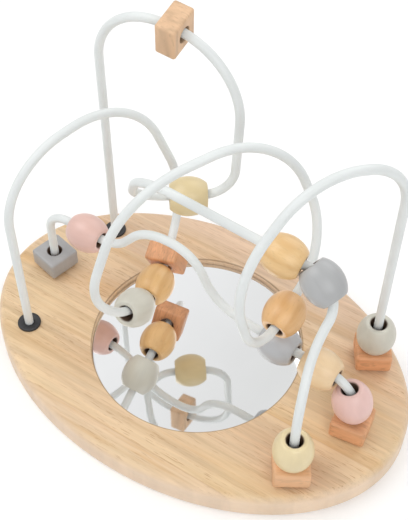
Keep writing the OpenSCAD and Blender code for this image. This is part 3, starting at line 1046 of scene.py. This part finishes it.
def block_mesh(sizes, seat, shift, tone, name):
    """A square block with softened edges and a round bore, set on its wire."""
    half = sizes.block_side / 2
    deep = sizes.block_thickness / 2
    edge = sizes.block_edge
    bore = sizes.bore_diameter / 2
    mouth = BORE_MOUTH
    shape = bmesh.new()
    grain = shape.verts.layers.float_vector.new("grain_at")
    raw = shape.verts.layers.float.new("raw")
    toned = shape.verts.layers.float.new("tone")
    angles = [math.atan2(y, x) for x, y in square_outline(half, edge)]

    def ring(points, height, bare_in_shade):
        made = []
        for x, y in points:
            place = Vector((x, y, height))
            vertex = shape.verts.new(seat @ place)
            vertex[grain] = place + shift
            vertex[raw] = bare_in_shade
            vertex[toned] = tone
            made.append(vertex)
        return made

    def round_bore(radius):
        return [(radius * math.cos(a), radius * math.sin(a)) for a in angles]

    rings = []
    for side in (1, -1):
        # The rings carry the share of raw wood in painted shade: all of it in the bore, less at the mouth,
        # none outside.
        part = [ring(round_bore(bore), side * (deep - mouth), 1.0)]
        step = mouth * MOUTH_SHARE
        part.append(ring(round_bore(bore + step), side * (deep - step), 1 - MOUTH_SHARE))
        part.append(ring(round_bore(bore + mouth), side * deep, 0.0))
        for turn in quarter(EDGE_STEPS):
            inset = edge * (1 - math.sin(turn))
            drop = edge * (1 - math.cos(turn))
            outline = square_outline(half - inset, max(edge - inset, LEAST_CORNER))
            part.append(ring(outline, side * (deep - drop), 0.0))
        rings += part if side == 1 else part[::-1]
    join_rings(shape, rings, closed=True)
    mesh = mesh_from(shape, name)
    smooth(mesh, BLOCK_SHARP)
    return mesh


class MAZE_OT_blocks(Operator):
    """Cuts the six square blocks"""
    bl_idname = "maze.blocks"
    bl_label = "Blocks"

    def execute(self, context):
        sizes = context.scene.maze_sizes
        for k, (node, (slot, turn, tone)) in enumerate(BLOCKS.items()):
            centre, axis = seat_of(node)
            guide = Vector((1, 0, 0)) if abs(axis.z) > UPRIGHT_SHARE else Vector((0, 0, 1))
            side = axis.cross(guide).normalized()
            front = side.cross(axis)
            seat = Matrix((front, side, axis)).transposed().to_4x4()
            seat = Matrix.Translation(centre) @ seat @ Matrix.Rotation(math.radians(turn), 4, "Z")
            shift = Vector([step * k for step in BLOCK_GRAIN])
            mesh = block_mesh(sizes, seat, shift, tone, node)
            add_piece(node.replace("_block", "_cube"), mesh, slot, node, node)
        return {"FINISHED"}


def seen_share(tree):
    """1 for rays that the camera sees, directly or mirrored, and 0 for rays that only carry light."""
    path = node_in(tree, "ShaderNodeLightPath").outputs
    seen = sum_of(tree, "MAXIMUM", path["Is Camera Ray"], path["Is Glossy Ray"])
    return sum_of(tree, "MAXIMUM", seen, path["Is Transmission Ray"])


class MAZE_OT_stage(Operator):
    """Sets the pale floor, the soft lamps, the white surroundings and the camera"""
    bl_idname = "maze.stage"
    bl_label = "Stage"

    def execute(self, context):
        scene = context.scene
        shape = bmesh.new()
        bmesh.ops.create_grid(shape, x_segments=8, y_segments=8, size=FLOOR_HALF)
        floor = bpy.data.objects.new("floor", mesh_from(shape, "floor"))
        scene.collection.objects.link(floor)
        floor.data.materials.append(self.floor_paper())
        self.surroundings(scene)
        for name, (place, width, power) in LAMPS.items():
            self.lamp(scene, name, place, width, power)
        over_mirror = (0, 0, mirror_high.z + BOUNCE_LIFT)
        bounce = self.lamp(scene, "bounce", over_mirror, mirror_radius * BOUNCE_WIDTH_SHARE, BOUNCE_POWER)
        bounce.visible_camera = False
        bounce.visible_glossy = False
        self.camera(scene)
        scene.view_settings.view_transform = "Standard"
        return {"FINISHED"}

    def floor_paper(self):
        """White paper that keeps the object's shadow and runs out into plain white."""
        shader = Shader("floor_paper")
        at = object_place(shader)
        tooth = shader.noise(at, (300, 300, 300), detail=2)
        shows = seen_share(shader.tree)
        base = shader.ramp(tooth, (0.3, even(0.86)), (0.7, even(0.88)))
        paper = shader.add("ShaderNodeBsdfDiffuse", {"Color": base})
        strength = shader.math("MULTIPLY", shows, PAPER_GLOW)
        glow = shader.add("ShaderNodeEmission", {"Color": WHITE, "Strength": strength})
        both = shader.add("ShaderNodeAddShader", {0: paper.outputs[0], 1: glow.outputs[0]})
        white = shader.add("ShaderNodeEmission", {"Color": WHITE, "Strength": 1.0})
        far = shader.range(middle_distance(shader, at), *PAPER_FADE, 0.0, 1.0)
        blend = {0: shader.math("MULTIPLY", far, shows), 1: both.outputs[0], 2: white.outputs[0]}
        fade = shader.add("ShaderNodeMixShader", blend)
        shader.tree.links.new(fade.outputs[0], shader.out.inputs["Surface"])
        return shader.material

    def surroundings(self, scene):
        """White where it is seen or mirrored, and a plain soft light elsewhere."""
        world = bpy.data.worlds.new("white_room")
        world.use_nodes = True
        scene.world = world
        tree = world.node_tree
        tree.nodes.clear()
        light = node_in(tree, "ShaderNodeBackground", {"Color": WHITE, "Strength": ROOM_LIGHT})
        white = node_in(tree, "ShaderNodeBackground", {"Color": WHITE, "Strength": 1.0})
        both = {0: seen_share(tree), 1: light.outputs[0], 2: white.outputs[0]}
        mix = node_in(tree, "ShaderNodeMixShader", both)
        node_in(tree, "ShaderNodeOutputWorld", {"Surface": mix.outputs[0]})

    def lamp(self, scene, name, place, size, power):
        data = bpy.data.lights.new(name, "AREA")
        data.shape = "DISK"
        data.size = size
        data.energy = power
        lamp = bpy.data.objects.new(name, data)
        lamp.location = place
        aim = Vector(LAMP_AIM) - Vector(place)
        lamp.rotation_euler = aim.to_track_quat("-Z", "Y").to_euler()
        scene.collection.objects.link(lamp)
        return lamp

    def camera(self, scene):
        """The photograph's viewpoint."""
        data = bpy.data.cameras.new("camera")
        data.sensor_width = CAMERA_FILM
        data.lens = CAMERA_LENS
        camera = bpy.data.objects.new("camera", data)
        ahead = Vector(CAMERA_AHEAD).normalized()
        right = ahead.cross(Vector((0, 0, 1))).normalized()
        turn = Matrix((right, right.cross(ahead), -ahead)).transposed()
        roll = Matrix.Rotation(math.radians(CAMERA_ROLL), 4, "Z")
        camera.matrix_world = Matrix.Translation(CAMERA_PLACE) @ turn.to_4x4() @ roll
        scene.collection.objects.link(camera)
        scene.camera = camera


class MAZE_PT_panel(Panel):
    """Lists the maze's pieces, sizes and colours"""
    bl_label = "Bead maze"
    bl_idname = "MAZE_PT_panel"
    bl_space_type = "VIEW_3D"
    bl_region_type = "UI"
    bl_category = "Bead maze"

    def draw(self, context):
        for operator in STEPS:
            self.layout.operator(operator.bl_idname)
        for group in (context.scene.maze_sizes, context.scene.maze_colours):
            box = self.layout.box()
            for name in group.__annotations__:
                box.prop(group, name)


STEPS = (
    MAZE_OT_board,
    MAZE_OT_mirror,
    MAZE_OT_bushings,
    MAZE_OT_wires,
    MAZE_OT_beads,
    MAZE_OT_blocks,
    MAZE_OT_stage,
)
CLASSES = (MazeSizes, MazeColours) + STEPS + (MAZE_PT_panel,)


def register():
    for item in CLASSES:
        bpy.utils.register_class(item)
    bpy.types.Scene.maze_sizes = PointerProperty(type=MazeSizes)
    bpy.types.Scene.maze_colours = PointerProperty(type=MazeColours)


def unregister():
    del bpy.types.Scene.maze_colours
    del bpy.types.Scene.maze_sizes
    for item in reversed(CLASSES):
        bpy.utils.unregister_class(item)


def main():
    """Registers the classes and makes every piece."""
    register()
    maze = bpy.ops.maze
    for make in (maze.board, maze.mirror, maze.bushings, maze.wires, maze.beads, maze.blocks, maze.stage):
        make()


if __name__ == "__main__":
    main()
